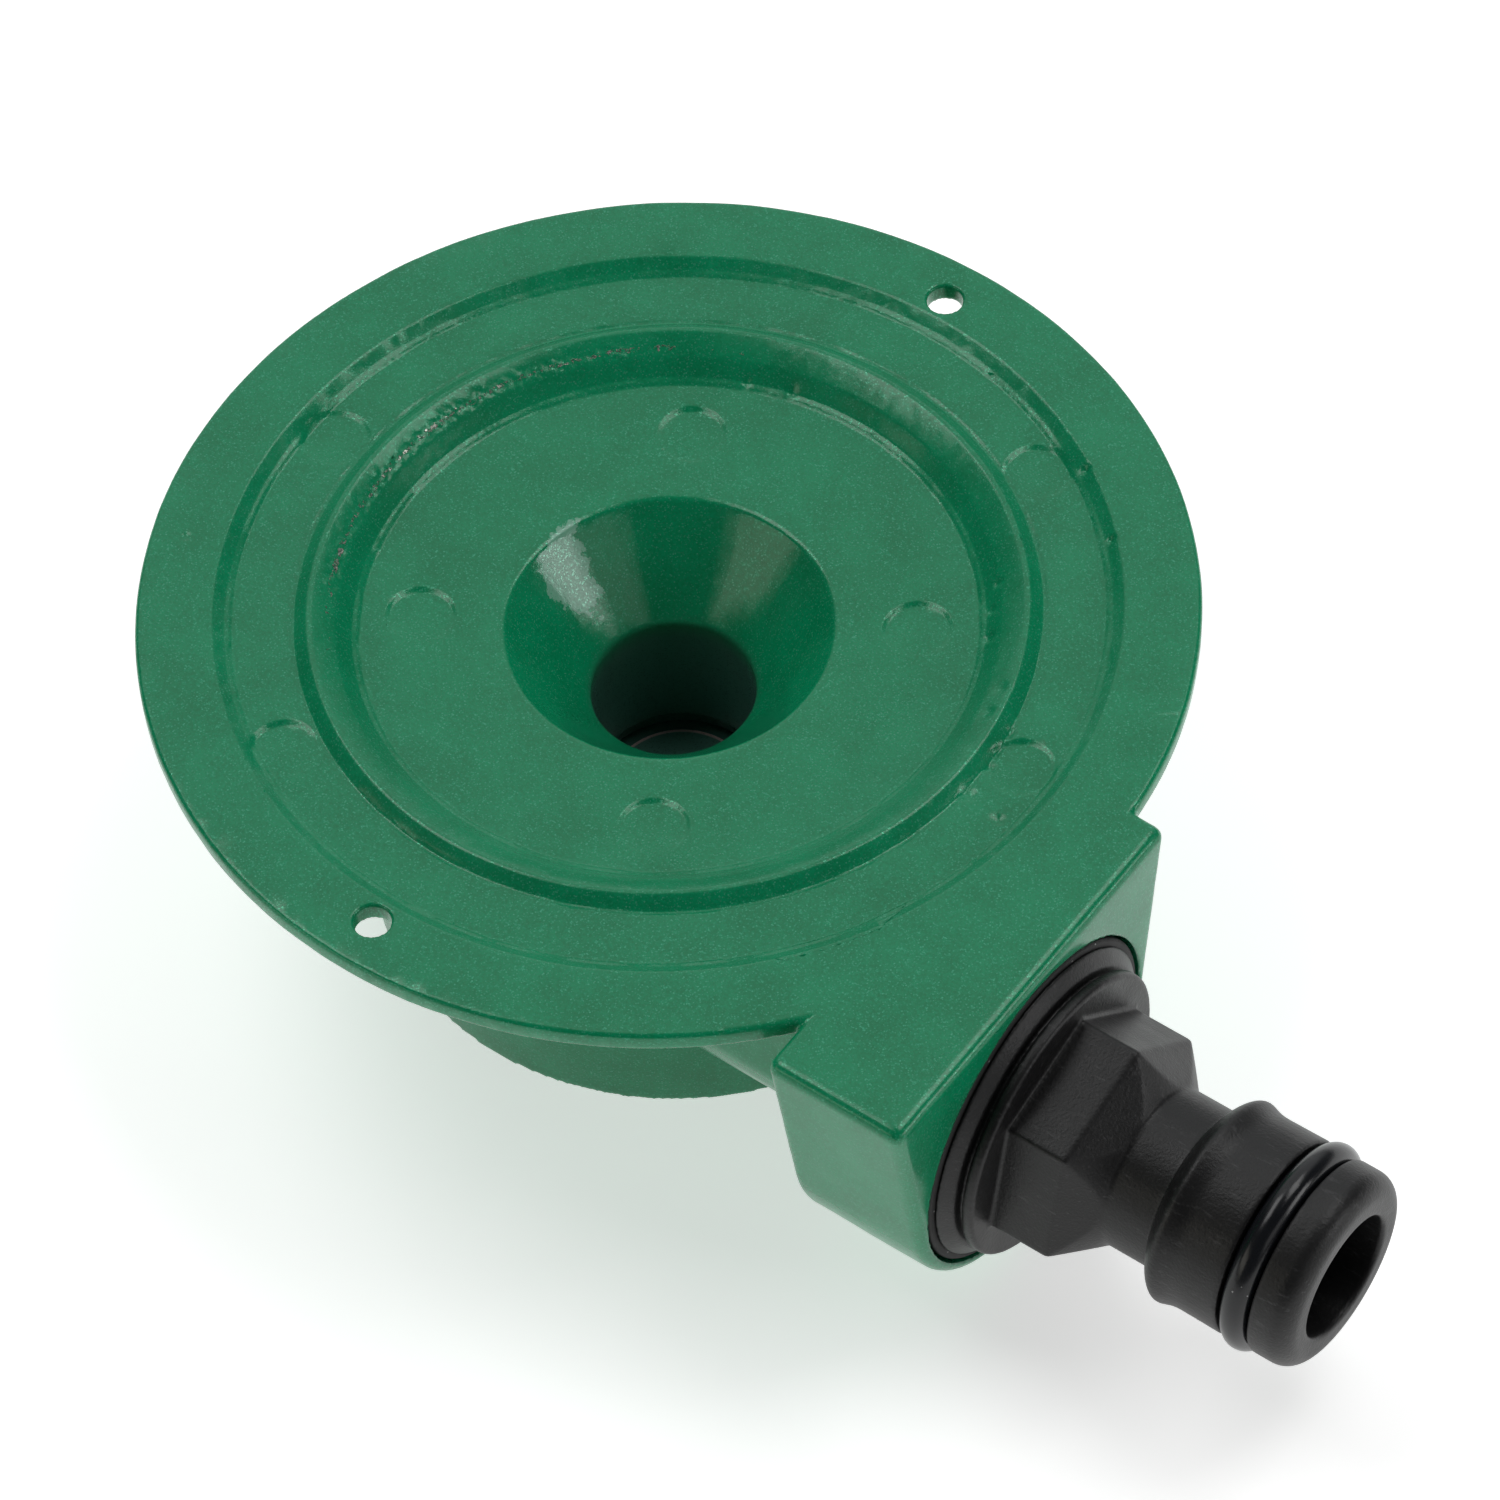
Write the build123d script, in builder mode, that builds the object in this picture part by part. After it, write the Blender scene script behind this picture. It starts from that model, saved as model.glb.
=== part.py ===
from build123d import *
from math import acos, atan2, cos, degrees, hypot, sin
import os

# Hose-fed vortex sprinkler head. Millimetres, +Z up.
# The origin is on the disc's axis, in the plane that the skirt stands on.
# +X runs along the hose connector, out of the inlet port.

# ---- driving dimensions ----
disc_radius = 40.0
body_height = 30.5
rim_thickness = 1.65
rim_inner_radius = 34.1
skirt_radius = 24.4
port_offset = 13.2          # the inlet axis runs this far to one side of the disc's axis
port_depth = 15.0           # and this far below the top face

# ---- dished face and swirl tube, as depths below the top face ----
dish_floor_radius = 32.6
dish_floor_depth = 0.93
bead_outer_radius = 28.1
bead_crest_radius = 27.0
bead_crest_depth = 0.15
bead_shoulder_radius = 24.7
bead_shoulder_depth = 1.28
inner_floor_radius = 23.9
inner_floor_depth = 2.65
funnel_radius = 12.5
funnel_depth = 3.16
throat_radius = 6.3
throat_depth = 10.8
swirl_tube_radius = 8.2     # outside of the tube below the funnel
swirl_tube_foot = 6.6       # its lower end, just above the cover
swirl_tube_relief = 6.9     # wider mouth of the tube, round the cover's boss
swirl_relief_top = 8.3
swirl_slot_width = 3.2
swirl_slot_foot = 9.2
swirl_slot_height = 8.0
web_depth = 2.9             # underside of the dished web

# ---- chamber, skirt and cover ----
chamber_radius = 22.0
chamber_roof_depth = 5.2
cover_seat_radius = 22.7
cover_seat_height = 6.4
cover_fit = 0.02            # gap all round, the cover is pressed and bonded in
cover_thickness = 4.0
cover_boss_radius = 5.6     # enters the swirl tube and closes it
cover_boss_height = 0.9
cover_recess_radius = 18.0
cover_recess_depth = 1.4
seal_half_width = 0.95
seal_groove_depth = 1.45

# ---- rim screw holes ----
screw_circle_radius = 36.1
screw_hole_radius = 1.4

# ---- inlet block and duct ----
block_front = 42.6
block_back = 30.8
block_half_width = 17.0
block_round_radius = 14.6
block_edge_radius = 0.9
duct_outer_radius = 9.0
duct_bore_radius = 6.6
duct_start = 10.1           # where the duct's outer side runs out on the skirt

# ---- G1/2 port thread, right-hand ----
thread_pitch = 1.814
thread_major_radius = 10.48
thread_minor_radius = 9.32
thread_clearance = 0.08
thread_sink = 0.3           # the ridge's root reaches this far into its core
thread_datum = 33.6         # both threads start a whole number of pitches from here
thread_turns = 3.5
port_turns = 5.2
port_thread_end = 31.2
washer_seat = 40.6
washer_seat_radius = 13.6

# ---- hose connector, stations along X ----
washer_face = 42.5
washer_outer_radius = 13.35
washer_inner_radius = 10.7
flange_radius = 12.8
bevel_start = 42.7
bevel_end = 43.6
bead_start = 44.05
bead_end = 45.0
bead_radius = 11.7
bead_groove_radius = 11.0
hex_face = 50.0
hex_flats = 17.0
hex_turn = 16.4
cone_end = 52.8
cone_inner_radius = 6.0
neck_radius = 6.5
neck_end = 57.0
collar_lip = 0.45
collar_radius = 8.3
collar_crest = 58.2
collar_waist = 60.2
collar_waist_radius = 7.95
groove_start = 63.8
groove_end = 66.4
groove_radius = 6.1
nose_radius = 7.95
nose_end = 69.8
nose_round = 1.7
water_bore_radius = 5.0
thread_tip = 32.9
thread_relief_radius = 9.0
thread_relief_start = 40.5
o_ring_section_radius = 1.18
o_ring_station = 65.1

# ---- worked out from the above ----
top = body_height
port_height = top - port_depth
port_plane = Plane(origin=(0, -port_offset, port_height), x_dir=(0, 1, 0), z_dir=(1, 0, 0))


def soften(sketch, radius, points):
    """Round the sketch's corners that lie at the given (x, y) points."""
    corners = [v for v in sketch.vertices() if any(hypot(v.X - x, v.Y - y) < 0.01 for x, y in points)]
    fillet(corners, radius)


def port_slice(start):
    """The plane across the inlet axis at a station along X."""
    return port_plane.offset(start)


def thread_form(start, turns, root_radius, crest_radius, root_width, crest_width):
    """A right-hand helical ridge around the inlet axis, from a station along X."""
    with BuildPart() as ridge:
        with BuildLine() as path:
            Helix(
                pitch=thread_pitch,
                height=turns * thread_pitch,
                radius=root_radius,
                center=(start, -port_offset, port_height),
                direction=(1, 0, 0),
            )
        start_point = path.line @ 0
        outward = start_point - Vector(start, -port_offset, port_height)
        with BuildSketch(Plane(origin=start_point, x_dir=outward, z_dir=path.line % 0)):
            with BuildLine():
                Polyline(
                    (-thread_sink, -root_width / 2),
                    (-thread_sink, root_width / 2),
                    (0, root_width / 2),
                    (crest_radius - root_radius, crest_width / 2),
                    (crest_radius - root_radius, -crest_width / 2),
                    (0, -root_width / 2),
                    close=True,
                )
            make_face()
        sweep(is_frenet=True)
    return ridge.part


# ---- body casting ----
dish_edge = (rim_inner_radius, top)
dish_foot = (rim_inner_radius - 0.6, top - 0.7)
dish_floor_edge = (dish_floor_radius, top - dish_floor_depth)
bead_foot = (bead_outer_radius, top - dish_floor_depth)
bead_crest = (bead_crest_radius, top - bead_crest_depth)
bead_shoulder = (bead_shoulder_radius, top - bead_shoulder_depth)
inner_floor = (inner_floor_radius, top - inner_floor_depth)
funnel_edge = (funnel_radius, top - funnel_depth)
throat_edge = (throat_radius, top - throat_depth)
rim_top = (disc_radius, top)
rim_bottom = (disc_radius, top - rim_thickness)
web_outer = (rim_inner_radius - 0.4, top - rim_thickness)
web_under = (rim_inner_radius - 1.6, top - web_depth)
skirt_top = (skirt_radius, top - web_depth)
skirt_foot = (skirt_radius, 0)

with BuildPart() as inlet_block:
    with BuildSketch(port_slice(block_back)) as block_outline:
        with BuildLine():
            corner_angle = atan2(port_depth, block_half_width)
            corner_distance = hypot(port_depth, block_half_width)
            side_angle = corner_angle - acos(block_round_radius / corner_distance)
            side_x = block_round_radius * cos(side_angle)
            side_y = block_round_radius * sin(side_angle)
            Polyline(
                (-side_x, side_y),
                (-block_half_width, port_depth),
                (block_half_width, port_depth),
                (side_x, side_y),
            )
            ThreePointArc((side_x, side_y), (0, -block_round_radius), (-side_x, side_y))
        make_face()
    extrude(amount=block_front - block_back)
    top_corners = inlet_block.edges().filter_by(Axis.X).sort_by(Axis.Z)[-2:]
    fillet(top_corners, block_edge_radius)
    end_faces = inlet_block.faces().sort_by(Axis.X)
    fillet(end_faces[-1].edges(), block_edge_radius)
    back_edges = end_faces[0].edges().filter_by(lambda edge: edge.center().Z < top - rim_thickness)
    fillet(back_edges, block_edge_radius)
    # the round dish runs on unbroken past the block
    with BuildSketch(Plane.XY.offset(top - web_depth / 2)):
        Circle(rim_inner_radius + 0.5)
    extrude(amount=web_depth, mode=Mode.SUBTRACT)

with BuildPart() as inlet_duct:
    with BuildSketch(port_slice(duct_start)):
        Circle(duct_outer_radius)
        with Locations((0, (port_depth - web_depth) / 2)):
            Rectangle(2 * duct_outer_radius, port_depth - web_depth)
    extrude(amount=block_back + 1 - duct_start)
    with BuildSketch(Plane.XY):
        Circle(chamber_radius - 1)
    extrude(amount=top, mode=Mode.SUBTRACT)

with BuildPart() as body_casting:
    with BuildSketch(Plane.XZ) as casting_section:
        with BuildLine():
            Polyline(
                (throat_radius, 0),
                throat_edge,
                funnel_edge,
                inner_floor,
                bead_shoulder,
                bead_crest,
                bead_foot,
                dish_floor_edge,
                dish_foot,
                dish_edge,
                rim_top,
                rim_bottom,
                web_outer,
                web_under,
                skirt_top,
                skirt_foot,
                close=True,
            )
        make_face()
        soften(casting_section, 0.5, [rim_top])
        soften(casting_section, 0.3, [rim_bottom, dish_edge, funnel_edge])
        soften(casting_section, 0.5, [dish_foot])
        soften(casting_section, 1.0, [bead_crest, web_under, skirt_top])
        soften(casting_section, 0.3, [bead_foot, bead_shoulder, inner_floor])
        soften(casting_section, 0.8, [throat_edge])
    revolve(axis=Axis.Z)
    add(inlet_block.part)
    add(inlet_duct.part)
    # the chamber, with the swirl tube standing in it, and the seat of the cover
    with BuildSketch(Plane.XZ) as chamber_section:
        with BuildLine():
            Polyline(
                (0, 0),
                (cover_seat_radius, 0),
                (cover_seat_radius, cover_seat_height),
                (chamber_radius, cover_seat_height),
                (chamber_radius, top - chamber_roof_depth),
                (funnel_radius + 0.7, top - chamber_roof_depth),
                (swirl_tube_radius, top - throat_depth - 0.2),
                (swirl_tube_radius, swirl_tube_foot),
                (swirl_tube_relief, swirl_tube_foot),
                (swirl_tube_relief, swirl_relief_top),
                (0, swirl_relief_top),
                close=True,
            )
        make_face()
    revolve(axis=Axis.Z, mode=Mode.SUBTRACT)
    # the slot that lets the water into the swirl tube along its wall
    with BuildSketch(Plane.XY.offset(swirl_slot_foot)):
        with Locations((0, -throat_radius)):
            Rectangle(swirl_tube_radius + 1, swirl_slot_width, align=(Align.MIN, Align.MIN))
    extrude(amount=swirl_slot_height, mode=Mode.SUBTRACT)
    # inlet: washer seat, tapping and duct
    with BuildSketch(port_slice(washer_seat)):
        Circle(washer_seat_radius)
    extrude(amount=block_front - washer_seat + 1, mode=Mode.SUBTRACT)
    with BuildSketch(port_slice(port_thread_end)):
        Circle(thread_minor_radius + thread_clearance)
    extrude(amount=washer_seat - port_thread_end + 1, mode=Mode.SUBTRACT)
    with BuildSketch(port_slice(duct_start)):
        Circle(duct_bore_radius)
    extrude(amount=port_thread_end - duct_start + 1, mode=Mode.SUBTRACT)
    port_groove = thread_form(
        thread_datum - thread_pitch,
        port_turns,
        thread_minor_radius + thread_clearance,
        thread_major_radius + thread_clearance,
        0.8 * thread_pitch,
        0.25 * thread_pitch,
    )
    add(port_groove, mode=Mode.SUBTRACT)
    # two screw holes in the rim, square to the inlet
    with BuildSketch(Plane.XY.offset(top - rim_thickness - 1)):
        with PolarLocations(screw_circle_radius, 2, start_angle=90):
            Circle(screw_hole_radius)
    extrude(amount=rim_thickness + 2, mode=Mode.SUBTRACT)
body_casting.part.label = "body_casting"

# ---- bottom cover: closes the chamber from below ----
seal_height = cover_seat_height - cover_thickness / 2
with BuildPart() as bottom_cover:
    with BuildSketch(Plane.XZ) as cover_section:
        with BuildLine():
            cover_radius = cover_seat_radius - cover_fit
            groove_bottom = cover_radius - seal_groove_depth
            cover_underside = cover_seat_height - cover_thickness
            Polyline(
                (0, cover_underside + cover_recess_depth),
                (cover_recess_radius, cover_underside + cover_recess_depth),
                (cover_recess_radius + 1, cover_underside),
                (cover_radius, cover_underside),
                (cover_radius, seal_height - seal_half_width),
                (groove_bottom, seal_height - seal_half_width),
                (groove_bottom, seal_height + seal_half_width),
                (cover_radius, seal_height + seal_half_width),
                (cover_radius, cover_seat_height),
                (cover_boss_radius, cover_seat_height),
                (cover_boss_radius, cover_seat_height + cover_boss_height),
                (0, cover_seat_height + cover_boss_height),
                close=True,
            )
        make_face()
    revolve(axis=Axis.Z)
bottom_cover.part.label = "bottom_cover"

with BuildPart() as cover_seal:
    with BuildSketch(Plane.XZ):
        with Locations((cover_seat_radius - seal_groove_depth / 2 - cover_fit / 2, seal_height)):
            Ellipse((seal_groove_depth + cover_fit) / 2, seal_half_width)
    revolve(axis=Axis.Z)
cover_seal.part.label = "cover_seal"

# ---- flat washer between the connector's flange and the block ----
with BuildPart() as port_washer:
    with BuildSketch(port_slice(washer_seat)):
        Circle(washer_outer_radius)
        Circle(washer_inner_radius, mode=Mode.SUBTRACT)
    extrude(amount=washer_face - washer_seat)
    fillet(port_washer.edges().filter_by(GeomType.CIRCLE).sort_by(SortBy.RADIUS)[-2:], 0.25)
port_washer.part.label = "port_washer"

# ---- hose connector: screwed in, with a hexagon and a quick-coupling stem ----
stem_plane = Plane(origin=(0, -port_offset, port_height), x_dir=(1, 0, 0), z_dir=(0, -1, 0))
stem_axis = Axis((0, -port_offset, port_height), (1, 0, 0))
thread_core = thread_minor_radius - thread_clearance

with BuildPart() as hexagon:
    with BuildSketch(port_slice(bead_end - 0.2)):
        RegularPolygon(hex_flats / 2, 6, major_radius=False, rotation=hex_turn)
    extrude(amount=hex_face - bead_end + 0.2)
    with BuildSketch(port_slice(hex_face)):
        RegularPolygon(hex_flats / 2, 6, major_radius=False, rotation=hex_turn)
    cone_length = cone_end - hex_face
    extrude(amount=cone_length, taper=degrees(atan2(hex_flats / 2 - neck_radius, cone_length)))
    # the six slopes run out on a cone, so that they end round on the neck
    with BuildSketch(stem_plane):
        with BuildLine():
            corner_radius = hex_flats / 3**0.5
            Polyline(
                (hex_face, corner_radius),
                (hex_face, corner_radius + 1),
                (cone_end + 0.1, corner_radius + 1),
                (cone_end + 0.1, neck_radius),
                (cone_end, neck_radius),
                close=True,
            )
        make_face()
    revolve(axis=stem_axis, mode=Mode.SUBTRACT)
    with BuildSketch(port_slice(bead_end - 0.2)):
        Circle(cone_inner_radius)
    extrude(amount=cone_end - bead_end + 1, mode=Mode.SUBTRACT)

with BuildPart() as hose_connector:
    with BuildSketch(stem_plane) as stem_section:
        with BuildLine():
            Polyline(
                (thread_tip, water_bore_radius),
                (thread_tip, thread_core - 0.5),
                (thread_tip + 0.5, thread_core),
                (thread_relief_start, thread_core),
                (thread_relief_start, thread_relief_radius),
                (washer_face, thread_relief_radius),
                (washer_face, flange_radius),
                (bevel_start, flange_radius),
                (bevel_end, bead_radius),
                (bevel_end, bead_groove_radius),
                (bead_start, bead_groove_radius),
                (bead_start, bead_radius),
                (bead_end, bead_radius),
                (bead_end, neck_radius + 0.5),
                (bead_end + 0.5, neck_radius),
                (neck_end, neck_radius),
                (neck_end, neck_radius + collar_lip),
            )
            Spline(
                (neck_end, neck_radius + collar_lip),
                (collar_crest, collar_radius),
                (collar_waist, collar_waist_radius),
                tangents=((0.5, 1), (1, 0)),
            )
            Polyline(
                (collar_waist, collar_waist_radius),
                (groove_start, nose_radius + 0.05),
                (groove_start, groove_radius),
                (groove_end, groove_radius),
                (groove_end, nose_radius),
                (nose_end, nose_radius),
                (nose_end, water_bore_radius),
                (thread_tip, water_bore_radius),
            )
        make_face()
        soften(stem_section, nose_round, [(nose_end, nose_radius)])
        soften(stem_section, 0.3, [(nose_end, water_bore_radius)])
        soften(stem_section, 0.2, [(bevel_start, flange_radius), (bevel_end, bead_radius)])
        soften(stem_section, 0.3, [(bead_end, bead_radius)])
        soften(stem_section, 0.15, [(groove_start, nose_radius + 0.05), (groove_end, nose_radius)])
    revolve(axis=stem_axis)
    add(hexagon.part)
    connector_ridge = thread_form(
        thread_datum,
        thread_turns,
        thread_core,
        thread_major_radius - thread_clearance,
        0.68 * thread_pitch,
        0.14 * thread_pitch,
    )
    add(connector_ridge)
hose_connector.part.label = "hose_connector"

with BuildPart() as stem_o_ring:
    with BuildSketch(stem_plane):
        with Locations((o_ring_station, groove_radius + o_ring_section_radius)):
            Circle(o_ring_section_radius)
    revolve(axis=stem_axis)
stem_o_ring.part.label = "stem_o_ring"

# ---- write the parts ----
pieces = (body_casting, bottom_cover, cover_seal, port_washer, hose_connector, stem_o_ring)
os.makedirs("parts", exist_ok=True)
for piece in pieces:
    export_step(piece.part, f"parts/{piece.part.label}.step")
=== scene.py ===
# %% [markdown]
# # A cast sprinkler head with a hose stem, dressed in Blender
#
# The head is a die-cast metal snail, 80 mm across, powder coated in a flecked green. A black plastic stem is
# screwed into its side, with a flat rubber washer behind the flange and an O-ring near the tip.
#
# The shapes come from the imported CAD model, which is loaded here as a fixed frame in metres. Blender adds what a
# CAD solid doesn't have: the soft edges of a coat of paint, the marks that the casting tool left, and the finishes.

# %% Load the frame
import math

import bpy
import numpy as np
from mathutils import Matrix, Vector


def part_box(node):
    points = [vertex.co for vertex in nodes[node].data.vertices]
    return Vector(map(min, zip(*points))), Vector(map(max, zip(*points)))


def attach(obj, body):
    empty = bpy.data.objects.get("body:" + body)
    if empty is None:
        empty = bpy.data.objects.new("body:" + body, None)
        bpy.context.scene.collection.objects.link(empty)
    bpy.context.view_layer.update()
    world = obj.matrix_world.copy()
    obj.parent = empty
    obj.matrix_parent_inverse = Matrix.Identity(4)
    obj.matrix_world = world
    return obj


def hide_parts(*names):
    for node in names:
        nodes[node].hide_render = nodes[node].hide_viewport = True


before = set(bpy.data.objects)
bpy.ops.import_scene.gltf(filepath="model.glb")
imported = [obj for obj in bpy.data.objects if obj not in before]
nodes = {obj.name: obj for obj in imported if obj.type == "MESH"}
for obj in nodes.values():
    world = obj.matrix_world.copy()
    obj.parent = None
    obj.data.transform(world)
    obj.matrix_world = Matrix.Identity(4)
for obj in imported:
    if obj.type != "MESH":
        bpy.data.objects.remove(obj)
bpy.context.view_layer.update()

# %% [markdown]
# ## The camera
#
# A long lens from about half a metre away keeps the rings of the dish nearly elliptical, as a product shot does. The
# camera stands 52.6 degrees above the horizon, and it is rolled by three degrees. Its place is worked out
# from those angles and from the middle of the top face, so that each number has a meaning.

# %% Camera
mm = 0.001
camera_azimuth = math.radians(38.5)
camera_elevation = math.radians(52.587)
camera_roll = math.radians(-3.072)
camera_distance = 544.9 * mm
camera_slide = (6.17 * mm, -11.23 * mm)     # sideways and upwards, in the picture's own plane
sensor_width, focal_length = 36, 174.58     # in real millimetres, as lenses are marked
top_of_flange = Vector((0, 0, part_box("body_casting")[1].z))

across = Vector((math.cos(camera_azimuth), math.sin(camera_azimuth), 0))
towards = Vector((math.sin(camera_azimuth), -math.cos(camera_azimuth), 0))
back = towards * math.cos(camera_elevation) + Vector((0, 0, math.sin(camera_elevation)))
up = back.cross(across)
picture_x = math.cos(camera_roll) * across + math.sin(camera_roll) * up
picture_y = math.cos(camera_roll) * up - math.sin(camera_roll) * across

camera = bpy.data.objects.new("camera", bpy.data.cameras.new("camera"))
bpy.context.scene.collection.objects.link(camera)
camera.matrix_world = Matrix.Translation(
    top_of_flange + back * camera_distance + picture_x * camera_slide[0] + picture_y * camera_slide[1]
) @ Matrix((picture_x, picture_y, back)).transposed().to_4x4()
camera.data.sensor_width = sensor_width
camera.data.lens = focal_length
camera.data.clip_start = 0.01
bpy.context.scene.camera = camera
print("camera at", [round(v, 3) for v in camera.matrix_world.translation])

# %% [markdown]
# ## Light and floor
#
# Glossy paint shows the lamps as much as it shows itself. The set is a light tent: low soft panels at the left and
# at the right, which the funnel mirrors as two pale streaks, and two high ones further back that light the paint
# itself. The tent is open where the camera stands and above it. That darkness is what gives the funnel its deep
# green, and every step of the dish its dark line on the far side. The floor is a plain sheet of white paper.

# %% Panels
scene = bpy.context.scene
scene.view_settings.view_transform = "Standard"
aimed_at = Vector((0, 0, 20 * mm))


def panel(name, turn, height, distance, width, tall, power, colour=(1, 1, 1)):
    """A soft panel that faces the head. turn is from the camera's side towards its right, height is above the
    horizon, both in degrees."""
    lamp = bpy.data.objects.new(name, bpy.data.lights.new(name, "AREA"))
    scene.collection.objects.link(lamp)
    turn, height = math.radians(turn), math.radians(height)
    level = towards * math.cos(turn) + across * math.sin(turn)
    lamp.location = distance * (level * math.cos(height) + Vector((0, 0, math.sin(height)))) + aimed_at
    lamp.rotation_mode = "QUATERNION"
    lamp.rotation_quaternion = (lamp.location - aimed_at).to_track_quat("Z", "Y")
    lamp.data.shape = "RECTANGLE"
    lamp.data.size, lamp.data.size_y, lamp.data.energy = width, tall, power
    lamp.data.color = colour
    print("panel", name, "at", [round(v, 2) for v in lamp.location])


panel("left_panel", -66, 19, 0.70, 0.48, 0.25, 0.55, (1.0, 0.97, 0.86))
panel("right_panel", 72, 18, 0.70, 0.30, 0.23, 0.86)
panel("right_reflector", 40, 20, 0.70, 0.36, 0.24, 0.22)
panel("left_high_panel", -116, 64, 0.75, 0.40, 0.30, 1.35)
panel("right_high_panel", 116, 64, 0.75, 0.40, 0.30, 1.35)

# %% [markdown]
# The rest of the tent is the world. Its brightness depends on the direction alone: a broad glow at the back, which
# lies over every level face, and nearly black towards the camera's side. What the camera sees behind the floor is a
# plain pale grey, so the backdrop stays even from every side.

# %% Tent
world = bpy.data.worlds.new("tent")
scene.world = world
world.use_nodes = True
tree = world.node_tree
tent = tree.nodes["Background"]
ray = tree.nodes.new("ShaderNodeTexCoord").outputs["Generated"]
aim = tree.nodes.new("ShaderNodeVectorMath")
aim.operation = "DOT_PRODUCT"
tree.links.new(ray, aim.inputs[0])
glow_height = math.radians(37)
glow_ends, glow_full = 0.68, 0.94      # cosines of the angle from the middle of the glow
darkest, brightest = 0.04, 0.90
behind_the_floor = 0.92
aim.inputs[1].default_value = Vector((0, 0, math.sin(glow_height))) - towards * math.cos(glow_height)
fade = tree.nodes.new("ShaderNodeMapRange")
fade.interpolation_type = "SMOOTHSTEP"
tree.links.new(aim.outputs["Value"], fade.inputs["Value"])
for socket, value in (("From Min", glow_ends), ("From Max", glow_full), ("To Min", darkest), ("To Max", brightest)):
    fade.inputs[socket].default_value = value
seen = tree.nodes.new("ShaderNodeMix")
tree.links.new(tree.nodes.new("ShaderNodeLightPath").outputs["Is Camera Ray"], seen.inputs["Factor"])
tree.links.new(fade.outputs[0], seen.inputs[2])
seen.inputs[3].default_value = behind_the_floor
tree.links.new(seen.outputs[0], tent.inputs["Strength"])
tent.inputs["Color"].default_value = (0.97, 0.99, 1, 1)

# %% Floor
floor_mesh = bpy.data.meshes.new("floor")
reach = 3.0
floor_corners = [(-reach, -reach, 0), (reach, -reach, 0), (reach, reach, 0), (-reach, reach, 0)]
floor_mesh.from_pydata(floor_corners, [], [(0, 1, 2, 3)])
floor = bpy.data.objects.new("floor", floor_mesh)
floor.location.z = -0.02 * mm      # a hair below the skirt's foot, so that the two don't share a plane
scene.collection.objects.link(floor)

# %% [markdown]
# ## A short way to wire a material
#
# Node trees get long when every node takes four lines. `wire` makes one node, sets the sockets that are plain
# numbers, and links those that are given as another node's output.

# %% Wiring helper
def blank(name):
    """A new material with only its output left, and its tree."""
    material = bpy.data.materials.new(name)
    material.use_nodes = True
    tree = material.node_tree
    tree.nodes.remove(tree.nodes["Principled BSDF"])
    return material, tree


def wire(tree, kind, settings=(), **sockets):
    """One node. settings are its own properties; sockets are numbers, colours, or another node's output."""
    made = tree.nodes.new("ShaderNode" + kind)
    for key, value in dict(settings).items():
        setattr(made, key, value)
    for key, value in sockets.items():
        socket = made.inputs[int(key[1:])] if key[0] == "_" else made.inputs[key.replace("_", " ")]
        if isinstance(value, bpy.types.NodeSocket):
            tree.links.new(value, socket)
        else:
            socket.default_value = value
    return made


def steps(tree, value, low, high):
    """value pulled from the span low..high to 0..1, with soft ends. With low above high it falls instead."""
    soft = {"interpolation_type": "SMOOTHSTEP"}
    return wire(tree, "MapRange", soft, Value=value, From_Min=low, From_Max=high).outputs[0]


def sum_of(tree, first, second, how="ADD"):
    """Two sockets or numbers put together with a Math node."""
    return wire(tree, "Math", {"operation": how}, _0=first, _1=second).outputs[0]


def off_by(tree, value, middle, half):
    """How far value is from middle, as a share of half."""
    offset = sum_of(tree, value, -middle)
    return sum_of(tree, wire(tree, "Math", {"operation": "ABSOLUTE"}, _0=offset).outputs[0], 1 / half, "MULTIPLY")


def tint(tree, share, first, second):
    """Two colours mixed by share."""
    return wire(tree, "Mix", {"data_type": "RGBA"}, _0=share, _6=first, _7=second).outputs[2]


def noise(tree, place, size, detail=2.0, roughness=0.5):
    """Soft noise whose lumps are about `size` metres wide."""
    return wire(tree, "TexNoise", Vector=place, Scale=1 / size, Detail=detail, Roughness=roughness).outputs["Fac"]


print("helpers ready")

# %% [markdown]
# ## White paper
#
# The floor is paper that is lit from below as well, as on a light table, so it stays pale in the head's own shadow.

# %% Floor finish
floor_finish, tree = blank("pale_floor")
place = wire(tree, "TexCoord").outputs["Object"]
shade = tint(tree, noise(tree, place, 0.4), (0.90, 0.90, 0.90, 1), (0.93, 0.93, 0.93, 1))
paper = wire(tree, "BsdfPrincipled", Base_Color=shade, Roughness=0.9,
             Emission_Color=(1, 1, 1, 1), Emission_Strength=0.56)
tree.links.new(paper.outputs[0], tree.nodes["Material Output"].inputs["Surface"])
floor_mesh.materials.append(floor_finish)

# %% [markdown]
# ## Green powder coat with metal flecks
#
# Powder paint is sprayed dry and melted in an oven. It flows into a thick skin with the faint dimples of an orange's
# peel, and the metal flecks in it lie at all angles, so that some of them flash. A fine cell pattern gives each cell
# a chance draw, and the luckiest two in five show as flecks, more or less bright, with a little metallic: their
# lighter green is partly the flakes' own colour and partly a painted glint that stands for the flash. Noise and the
# cells themselves bump the surface. In the funnel the paint has flowed out smoother, so it is a little less rough
# there.

# %% Green coat
green_coat, tree = blank("flecked_green_coat")
place = wire(tree, "TexCoord").outputs["Object"]
apart = wire(tree, "SeparateXYZ", Vector=place)
flat_place = wire(tree, "CombineXYZ", X=apart.outputs[0], Y=apart.outputs[1]).outputs[0]
from_axis = wire(tree, "VectorMath", {"operation": "LENGTH"}, Vector=flat_place).outputs["Value"]

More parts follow.
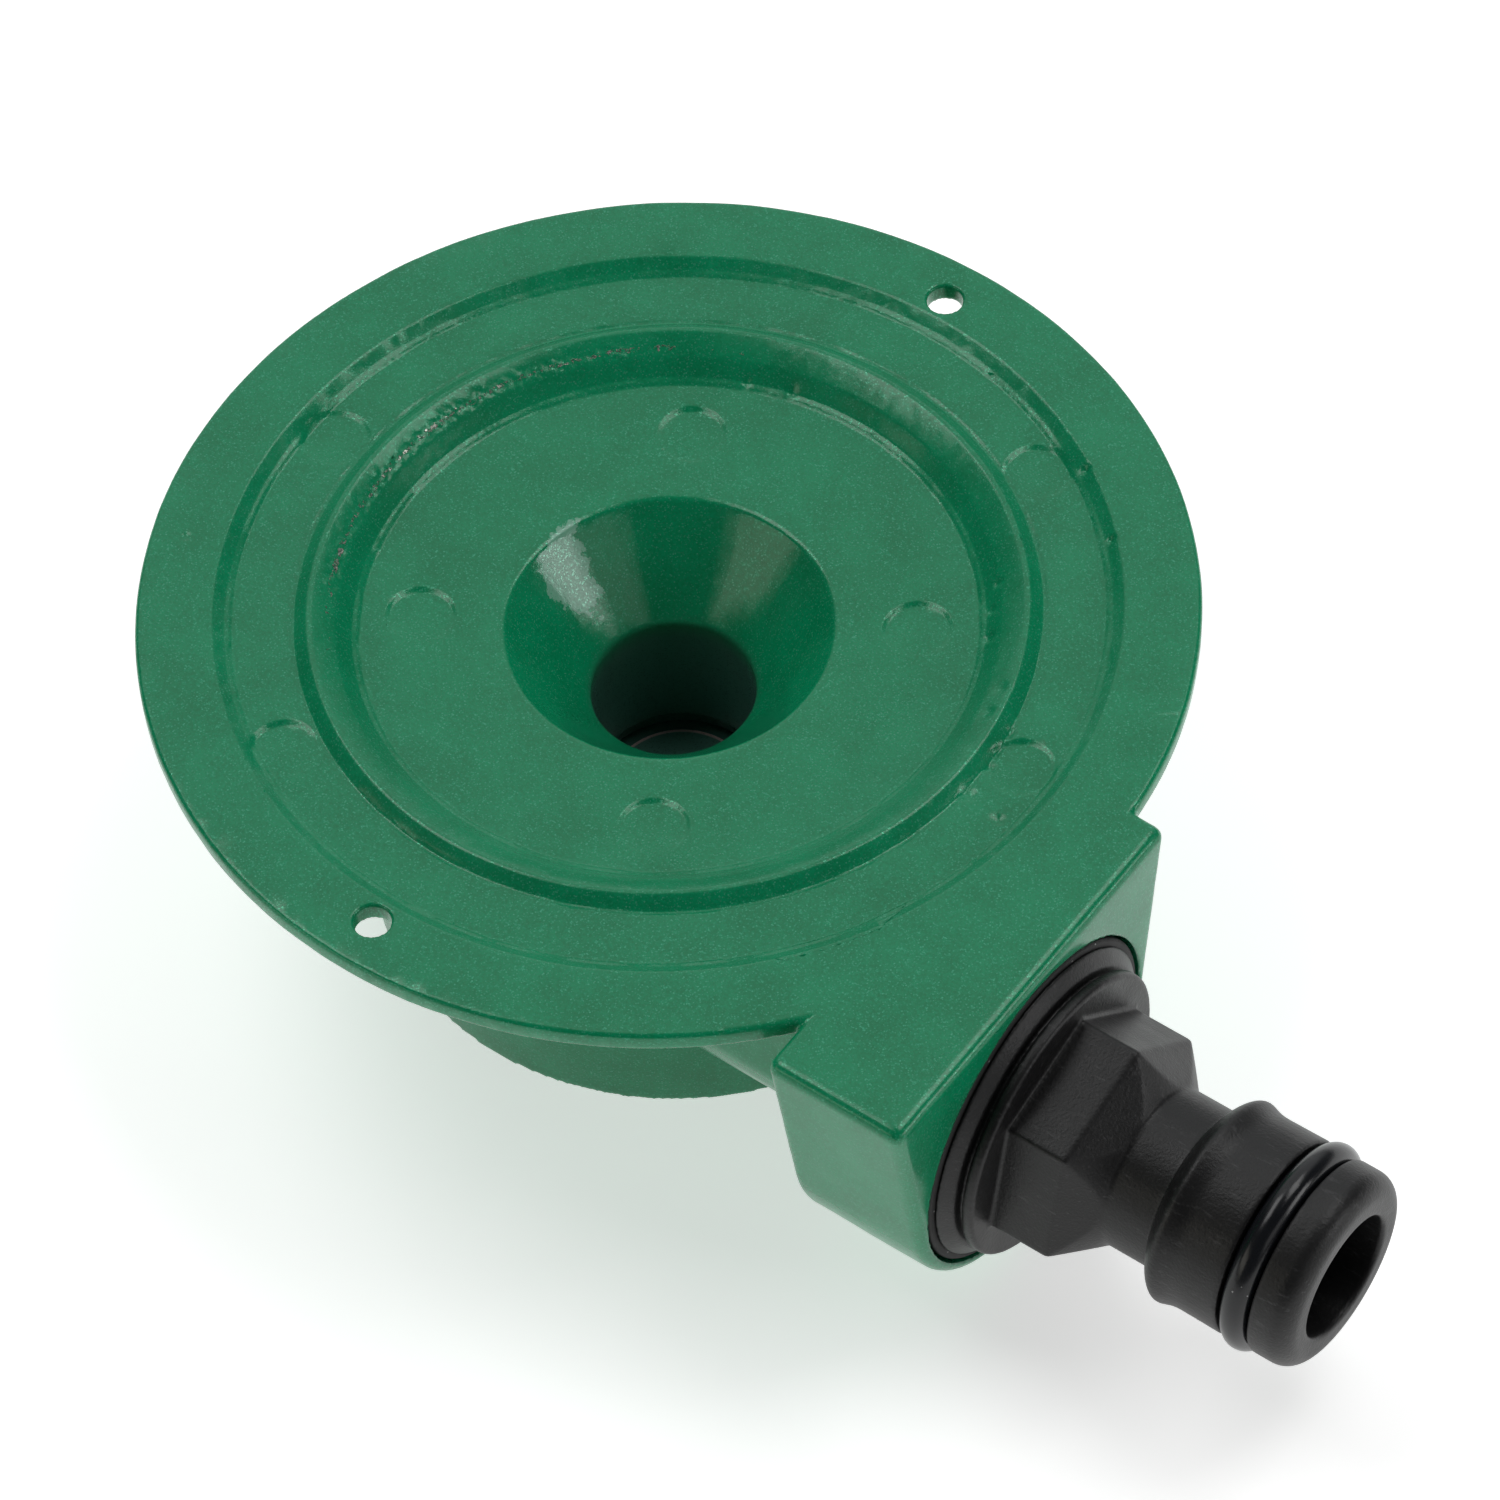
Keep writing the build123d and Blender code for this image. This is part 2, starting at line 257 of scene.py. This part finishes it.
cells = wire(tree, "TexVoronoi", Vector=place, Scale=1 / (0.12 * mm))
cell = wire(tree, "SeparateColor", Color=cells.outputs["Color"])
chosen = steps(tree, cell.outputs[0], 0.60, 0.98)
near_middle = steps(tree, cells.outputs["Distance"], 0.75, 0.35)
fleck = sum_of(tree, chosen, near_middle, "MULTIPLY")

cloud = sum_of(tree, noise(tree, place, 5 * mm, 4.0), noise(tree, place, 0.22 * mm, 3.0))
paint = tint(tree, steps(tree, cloud, 0.60, 1.40), (0.0010, 0.178, 0.070, 1), (0.002, 0.252, 0.108, 1))
# The flecks' lighter green is partly their own colour and partly a painted glint for their flash.
fleck_colour_and_painted_glint = tint(tree, cell.outputs[1], (0.008, 0.235, 0.112, 1), (0.060, 0.390, 0.230, 1))
colour = tint(tree, fleck, paint, fleck_colour_and_painted_glint)

in_funnel = steps(tree, from_axis, 14.0 * mm, 12.0 * mm)
sheen_spread = sum_of(tree, noise(tree, place, 1.2 * mm, 4.0), 0.10, "MULTIPLY")
dull = sum_of(tree, sum_of(tree, in_funnel, -0.05, "MULTIPLY"), 0.18)
roughness = sum_of(tree, dull, sheen_spread)

peel = wire(tree, "Bump", Strength=0.35, Distance=0.03 * mm, Height=noise(tree, place, 0.8 * mm, 2.0))
grain = wire(tree, "Bump", Strength=0.25, Distance=0.012 * mm, Height=cells.outputs["Distance"],
             Normal=peel.outputs[0])

# %% [markdown]
# Three places break the even coat. Along a fifth of the ring, the tool has torn the casting's skin, and bare zinc
# glints through it in crumbs. High on one side of the funnel a pale patch is a painted highlight: a lamp's
# reflection painted into the coat's colour. These two are found by their angle round the axis and their distance
# from it, and noise frays their edges. The third place is the tube below the funnel: its wall is painted a darker,
# greyer green as painted shade for the deep hole, and the seam of the bottom cover's boss is a pale ring in its
# floor.

# %% Worn places, a painted highlight and painted shade
def arc(low, high, near, far, fray, size):
    """1 inside a piece of a ring: angles in degrees, counted from +X through +Y, and distances from the axis."""
    turn = wire(tree, "Math", {"operation": "ARCTAN2"}, _0=apart.outputs[1], _1=apart.outputs[0]).outputs[0]
    turn = sum_of(tree, turn, math.degrees(1), "MULTIPLY")
    turn = sum_of(tree, turn, 360.0, "FLOORED_MODULO")
    spread = sum_of(tree, noise(tree, place, size, 5.0, 0.65), -0.5)
    along = off_by(tree, turn, (low + high) / 2, (high - low) / 2)
    outward = off_by(tree, from_axis, (near + far) / 2, (far - near) / 2)
    worst = sum_of(tree, along, outward, "MAXIMUM")
    return steps(tree, sum_of(tree, worst, sum_of(tree, spread, fray, "MULTIPLY")), 1.06, 0.94)


crumbs = steps(tree, noise(tree, place, 0.35 * mm, 4.0, 0.7), 0.50, 0.58)
on_top = steps(tree, apart.outputs[2], 19.0 * mm, 21.0 * mm)
torn = sum_of(tree, arc(130, 204, 25.47 * mm, 25.75 * mm, 5.0, 1.0 * mm), crumbs, "MULTIPLY")
torn = sum_of(tree, torn, on_top, "MULTIPLY")
# The pale patch in the funnel is a painted highlight: a lamp's reflection painted into the colour.
painted_highlight_patch = sum_of(tree, arc(163, 186, 8.3 * mm, 12.2 * mm, 3.2, 2.2 * mm), on_top, "MULTIPLY")
metal_shade = tint(tree, cell.outputs[2], (0.07, 0.14, 0.10, 1), (0.60, 0.60, 0.53, 1))
colour = tint(tree, sum_of(tree, painted_highlight_patch, 0.40, "MULTIPLY"), colour, (0.36, 0.56, 0.48, 1))
colour = tint(tree, torn, colour, metal_shade)

# The tube below the funnel is painted a darker, greyer green as painted shade in the deep hole; the pale ring in its
# floor is the boss's seam.
down = steps(tree, apart.outputs[2], 20.6 * mm, 17.5 * mm)
above_cover = steps(tree, apart.outputs[2], 5.5 * mm, 6.5 * mm)
within_tube = steps(tree, from_axis, 8.4 * mm, 8.0 * mm)
in_tube = sum_of(tree, sum_of(tree, down, above_cover, "MULTIPLY"), within_tube, "MULTIPLY")
past_seam, before_rim = steps(tree, from_axis, 5.30 * mm, 5.45 * mm), steps(tree, from_axis, 5.75 * mm, 5.62 * mm)
boss_seam = sum_of(tree, past_seam, before_rim, "MULTIPLY")
tube_shade_and_seam = tint(tree, boss_seam, (0.07, 0.19, 0.15, 1), (0.45, 0.36, 0.34, 1))
colour = tint(tree, in_tube, colour, tube_shade_and_seam)
metallic = sum_of(tree, sum_of(tree, fleck, 0.30, "MULTIPLY"), sum_of(tree, torn, 0.6, "MULTIPLY"), "MAXIMUM")
tears = wire(tree, "Bump", Strength=0.8, Distance=0.12 * mm, Height=torn, Normal=grain.outputs[0])
coat = wire(tree, "BsdfPrincipled", Base_Color=colour, Roughness=roughness, Normal=tears.outputs[0],
            Metallic=metallic, IOR=1.43)
tree.links.new(coat.outputs[0], tree.nodes["Material Output"].inputs["Surface"])
print("green coat has", len(tree.nodes), "nodes")

# %% [markdown]
# ## Black moulded plastic
#
# The stem is glass-filled nylon: nearly black, satin, with a fine grain and pale scuffs where other couplings have
# rubbed it. The scuffs are a stretched noise that only shows in its highest ridges.

# %% Black plastic
black_plastic, tree = blank("black_plastic")
place = wire(tree, "TexCoord").outputs["Object"]
stretched = wire(tree, "Mapping", Vector=place, Scale=(0.25, 1.0, 1.0), Rotation=(0.3, 0.2, 0.5)).outputs[0]
scuff = steps(tree, noise(tree, stretched, 0.5 * mm, 6.0, 0.7), 0.56, 0.72)
cloud = noise(tree, place, 4 * mm, 4.0)
black = tint(tree, cloud, (0.0045, 0.0045, 0.0048, 1), (0.0085, 0.0085, 0.0088, 1))
colour = tint(tree, scuff, black, (0.036, 0.036, 0.037, 1))
roughness = sum_of(tree, sum_of(tree, cloud, 0.16, "MULTIPLY"), 0.34)
grain = wire(tree, "Bump", Strength=0.7, Distance=0.045 * mm, Height=noise(tree, place, 0.22 * mm, 3.0))
streaks = noise(tree, stretched, 1.6 * mm)
flow = wire(tree, "Bump", Strength=0.35, Distance=0.08 * mm, Height=streaks, Normal=grain.outputs[0])
nylon = wire(tree, "BsdfPrincipled", Base_Color=colour, Roughness=roughness, Normal=flow.outputs[0], IOR=1.4)
tree.links.new(nylon.outputs[0], tree.nodes["Material Output"].inputs["Surface"])
print("black plastic has", len(tree.nodes), "nodes")

# %% [markdown]
# ## Two rubbers
#
# The O-rings are moulded in polished tools and greased, so they are smoother than the plastic round them and
# their black is a little blue. The flat washer is punched from sheet: it is matt, and dust sits in its pores.

# %% Rubbers
def rubber(name, dark, pale, rough, rough_spread, pore, pore_depth):
    """A rubber with dust specks and pores."""
    made, tree = blank(name)
    place = wire(tree, "TexCoord").outputs["Object"]
    specks = wire(tree, "TexVoronoi", Vector=place, Scale=1 / (0.5 * mm))
    picked = steps(tree, wire(tree, "SeparateColor", Color=specks.outputs["Color"]).outputs[0], 0.93, 0.95)
    dust = sum_of(tree, picked, steps(tree, specks.outputs["Distance"], 0.20, 0.08), "MULTIPLY")
    film = noise(tree, place, 2.5 * mm, 4.0)
    colour = tint(tree, dust, tint(tree, film, dark, pale), (0.35, 0.35, 0.35, 1))
    roughness = sum_of(tree, sum_of(tree, film, rough_spread, "MULTIPLY"), rough)
    pores = wire(tree, "Bump", Strength=0.4, Distance=pore_depth, Height=noise(tree, place, pore, 3.0))
    skin = wire(tree, "BsdfPrincipled", Base_Color=colour, Roughness=roughness, Normal=pores.outputs[0], IOR=1.42)
    tree.links.new(skin.outputs[0], tree.nodes["Material Output"].inputs["Surface"])
    print(name, "has", len(tree.nodes), "nodes")
    return made


seal_rubber = rubber(
    "seal_rubber", (0.004, 0.0045, 0.006, 1), (0.008, 0.009, 0.011, 1), 0.16, 0.14, 0.3 * mm, 0.01 * mm)
washer_rubber = rubber(
    "washer_rubber", (0.006, 0.006, 0.006, 1), (0.014, 0.014, 0.014, 1), 0.55, 0.2, 0.15 * mm, 0.03 * mm)

# %% [markdown]
# ## A skin with soft edges
#
# A CAD solid has knife edges; a painted casting hasn't. One way is to bevel every edge, but a bevel gets into
# trouble on a mesh that came from a CAD program, with its long thin triangles. Here the solid is wrapped anew in
# small even squares with Remesh, a Smooth modifier relaxes them until the edges are round, and Decimate then thins
# out the level parts. A vertex group keeps the smoothing away from places that have to fit, such as a thread.

# %% Skin helper
def finished(work, *modifiers):
    """work's mesh with these modifiers applied: each is (type, settings)."""
    for kind, settings in modifiers:
        made = work.modifiers.new(kind.lower(), kind)
        for key, value in settings.items():
            setattr(made, key, value)
    graph = bpy.context.evaluated_depsgraph_get()
    mesh = bpy.data.meshes.new_from_object(work.evaluated_get(graph))
    work.modifiers.clear()
    work.data = mesh
    return mesh


def corners(mesh):
    """The mesh's points as an array of rows."""
    flat = np.empty(3 * len(mesh.vertices))
    mesh.vertices.foreach_get("co", flat)
    return flat.reshape(-1, 3)


def soft_skin(node, name, cell, rounds, keep_sharp):
    """A new object with the node's shape and soft edges. keep_sharp says for each point, from 0 to 1, how far it
    is left alone."""
    work = bpy.data.objects.new(name, nodes[node].data.copy())
    scene.collection.objects.link(work)
    mesh = finished(work, ("REMESH", {"mode": "VOXEL", "voxel_size": cell}))
    soft = work.vertex_groups.new(name="soft")
    weights = 1 - keep_sharp(corners(mesh))
    for level in np.unique(np.round(weights, 1)):
        soft.add(np.flatnonzero(np.round(weights, 1) == level).tolist(), float(level), "REPLACE")
    mesh = finished(work, ("SMOOTH", {"factor": 0.5, "iterations": rounds, "vertex_group": "soft"}))
    print(name, "wrapped in", len(mesh.polygons), "faces")
    return work


def thin_out(work, faces, material, body):
    """Fewer faces where the surface is level, then smooth shading, one material, and the body it rides on."""
    triangles = sum(len(p.vertices) - 2 for p in work.data.polygons)
    mesh = finished(work, ("DECIMATE", {"ratio": min(1.0, faces / triangles)}))
    mesh.materials.clear()
    mesh.materials.append(material)
    mesh.shade_smooth()
    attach(work, body)
    print(work.name, "keeps", len(mesh.polygons), "faces")


# %% [markdown]
# ## The casting's skin
#
# The body is one die casting, so it gets one skin. Its coat of paint rounds every edge but the thread in the port,
# which is masked while the paint is sprayed.

# %% Casting
port_y, port_z = -13.2 * mm, 15.5 * mm
port_reach, port_end, port_mouth = 11.2 * mm, 12 * mm, 41 * mm


def near_port(points):
    """1 inside the tapped port, 0 outside it."""
    off = np.hypot(points[:, 1] - port_y, points[:, 2] - port_z)
    return ((off < port_reach) & (points[:, 0] > port_end) & (points[:, 0] < port_mouth)).astype(float)


casting = soft_skin("body_casting", "painted_casting", 0.19 * mm, 3, near_port)

# %% [markdown]
# ## Rings turned true
#
# Remesh leaves small teeth wherever an edge runs at a slant to its grid, and an eye catches them at once on a round
# rim. The dish and the rim were turned shapes in the casting tool, so here their points are set exactly: a point of
# the dish takes its height from a profile curve, and a point of the rim is moved onto a rounded section. The profile
# has what the CAD leaves out: a small ledge at the foot of each slope and a crease outside the bead.

# %% True rings
def blurred(values, width):
    """values, one per step of the grid, softened over a width counted in steps."""
    reach = np.arange(-3 * width, 3 * width + 1)
    bell = np.exp(-(reach / width) ** 2 / 2)
    return np.convolve(np.pad(values, 3 * width, "edge"), bell / bell.sum(), "valid")


points = corners(casting.data)
normals = np.empty(3 * len(points))
casting.data.vertices.foreach_get("normal", normals)
normals = normals.reshape(-1, 3)
from_centre = np.hypot(points[:, 0], points[:, 1])
turned = np.degrees(np.arctan2(points[:, 1], points[:, 0])) % 360
upper = (normals[:, 2] > 0.3) & (points[:, 2] > top_of_flange.z - 4 * mm)

# distance from the axis and depth below the top face, in mm
inner_step = [(13.0, 3.138), (23.30, 2.675), (23.55, 2.43), (23.85, 2.40), (25.00, 1.25)]
bead = [(26.8, 0.22), (27.1, 0.20), (28.05, 0.92), (28.22, 1.08), (28.42, 0.93)]
outer_step = [(32.80, 0.93), (33.02, 0.72), (33.30, 0.69), (34.25, 0.0), (34.8, 0.0)]
profile = np.array(inner_step + bead + outer_step).T
grid = np.arange(13.0, 34.8, 0.01)
depths = blurred(np.interp(grid, *profile), 8)
ringed = upper & (from_centre > 13.3 * mm) & (from_centre < 34.6 * mm)
points[ringed, 2] = top_of_flange.z - mm * np.interp(from_centre[ringed] / mm, grid, depths)

rim = -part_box("body_casting")[0].x
rim_half, rim_soft = 0.825 * mm, 0.4 * mm     # half its thickness, and the radius of its edges
clear_of_block = (turned > 6) & (turned < 312)
in_rim_height = points[:, 2] > top_of_flange.z - 2 * rim_half - 0.2 * mm
on_rim = (from_centre > rim - 0.7 * mm) & in_rim_height & clear_of_block
outward = from_centre[on_rim] - (rim - rim_soft)
above = points[on_rim, 2] - (top_of_flange.z - rim_half)
upward = abs(above) - (rim_half - rim_soft)
corner = (outward > 0) & (upward > 0)
shrink = np.where(corner, rim_soft / np.maximum(np.hypot(outward, upward), 0.01 * mm), 1)
edge_face = ~corner & (outward > upward)
outward = np.where(edge_face, rim_soft, outward * shrink)
upward = np.where(~corner & ~edge_face, rim_soft, upward * shrink)
points[on_rim, :2] *= ((rim - rim_soft + outward) / from_centre[on_rim])[:, None]
points[on_rim, 2] = top_of_flange.z - rim_half + np.sign(above) * (rim_half - rim_soft + upward)
print("points set on the rings:", int(ringed.sum()), "on the rim:", int(on_rim.sum()))

# %% [markdown]
# ## Marks from the casting tool
#
# Eight ejector pins push the casting out of its tool, and each leaves a shallow round dent in the face. Where the
# tool has worn, the edges of the rings have small pits and the surfaces are a little wavy. A pin that stands askew
# leaves a dent that is deeper on one side, so each dent leans. The dents and pits are real dips in the mesh, so they
# catch the light from every side.

# %% Dents, pits and waves
def ripple(points, size, seed, waves=20):
    """Smooth noise from about -1 to 1 with lumps of about `size` metres: sine waves in random directions, summed."""
    draw = np.random.default_rng(seed)
    total = np.zeros(len(points))
    for _ in range(waves):
        direction = draw.normal(size=3)
        direction *= draw.uniform(0.6, 1.4) * math.pi / size / np.linalg.norm(direction)
        total += np.sin(points @ direction + draw.uniform(0, 2 * math.pi))
    return total / math.sqrt(waves / 2) / 2


def on_ring(radius, degrees):
    """The point at a distance and an angle round the disc's axis."""
    return np.array([radius * math.cos(math.radians(degrees)), radius * math.sin(math.radians(degrees))])


pin_radius, pin_depth, pin_wall = 2.55 * mm, 0.15 * mm, 0.46 * mm
inner_pins = [(18.6, 121), (18.8, 212), (18.7, 33), (19.0, 303)]
outer_pins = [(30.8, 182), (30.6, 60), (31.0, 240), (30.4, 5)]
pins = inner_pins + outer_pins     # distance from the axis in mm, and angle
for radius, degrees in pins:
    off = np.hypot(*(points[:, :2] - on_ring(radius * mm, degrees)).T)
    depth = np.clip((pin_radius - off) / pin_wall + 0.5, 0, 1)
    lean = -(points[:, :2] - on_ring(radius * mm, degrees)) @ np.array(towards.xy) / pin_radius
    wobble = np.clip(1 + 0.55 * lean + 0.30 * ripple(points, 2.0 * mm, int(degrees)), 0, 2)
    points[:, 2] -= np.where(upper, pin_depth * wobble * depth * depth * (3 - 2 * depth), 0)

# the same, then size and depth in mm
pits = [
    (24.9, 41, 0.30, 0.30), (24.3, 36, 0.28, 0.25), (24.2, 30, 0.35, 0.30), (33.9, 57, 0.30, 0.35),
    (33.8, 45, 0.25, 0.30), (26.3, 17, 0.55, 0.16), (26.1, 12, 0.40, 0.14), (28.6, 3, 0.40, 0.22),
    (28.7, 357, 0.50, 0.25), (21.4, 352, 0.30, 0.12), (28.3, 10, 0.45, 0.20), (24.0, 103, 0.35, 0.20),
    (23.9, 112, 0.30, 0.18), (37.2, 205, 0.35, 0.16), (31.8, 356, 0.45, 0.22),
]
for radius, degrees, size, depth in pits:
    off = np.hypot(*(points[:, :2] - on_ring(radius * mm, degrees)).T)
    points[:, 2] -= np.where(upper, depth * mm * np.exp(-(off / (size * mm)) ** 2), 0)

rough = (turned > 128) & (turned < 210) & (abs(from_centre - 25.6 * mm) < 0.5 * mm) & upper
points += normals * (rough * 0.05 * mm * ripple(points, 0.35 * mm, 5))[:, None]
for radius, deep, seed in ((28.15, 0.08, 8), (23.40, 0.09, 9), (32.95, 0.06, 10)):
    edge_wave = np.exp(-((from_centre - radius * mm) / (0.25 * mm)) ** 2) * upper
    points[:, 2] -= edge_wave * deep * mm * np.clip(0.4 + ripple(points, 1.6 * mm, seed), 0, 1)
unevenness = 0.018 * mm * ripple(points, 3.2 * mm, 11) + 0.007 * mm * ripple(points, 1.1 * mm, 12)
points += normals * ((1 - near_port(points)) * unevenness)[:, None]

# the heights are kept within the CAD's own box, and points just past the rim, except on the block's side, are pulled
# back onto it
points[:, 2] = np.clip(points[:, 2], 0, top_of_flange.z)
now = np.hypot(points[:, 0], points[:, 1])
beyond = (now > rim) & (now < rim + 0.1 * mm) & (points[:, 0] < 30 * mm)
points[beyond, :2] *= (rim / now[beyond])[:, None]
casting.data.vertices.foreach_set("co", points.ravel())
casting.data.update()
print("pins", len(pins), "pits", len(pits), "torn points", int(rough.sum()))

# %% [markdown]
# ## The casting, done
#
# Now the skin loses the squares it doesn't need. It rides the body that the CAD node rode, takes that node's place,
# and its material gets a slot of its own.

# %% Finished casting
thin_out(casting, 190_000, green_coat, "sprinkler")
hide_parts("body_casting")

# %% [markdown]
# ## The stem's skin
#
# Moulded plastic has round edges too, because a tool is cut with round cutters. The hexagon is the softest part; the
# collar and the nose have to fit a coupling, so they stay crisper.

# %% Stem
def near_thread(points):
    """1 on the stem's thread and in its bore, about a half on the crisp collar and nose, 0 on the hexagon."""
    off = np.hypot(points[:, 1] - port_y, points[:, 2] - port_z)
    kept = ((points[:, 0] < 40.4 * mm) | (off < 4.5 * mm)).astype(float)
    return np.maximum(kept, 0.6 * (points[:, 0] > 54.5 * mm))


stem = soft_skin("hose_connector", "moulded_stem", 0.15 * mm, 9, near_thread)
thin_out(stem, 120_000, black_plastic, "connector")
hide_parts("hose_connector")

# %% [markdown]
# ## The pieces that need no skin
#
# The cover and the rubber rings are round already, and little of them shows. They keep their CAD meshes and get a
# finish only.

# %% Carried-over nodes
finishes = {
    "bottom_cover": green_coat,
    "cover_seal": seal_rubber,
    "port_washer": washer_rubber,
    "stem_o_ring": seal_rubber,
}
for node, finish in finishes.items():
    nodes[node].data.materials.clear()
    nodes[node].data.materials.append(finish)
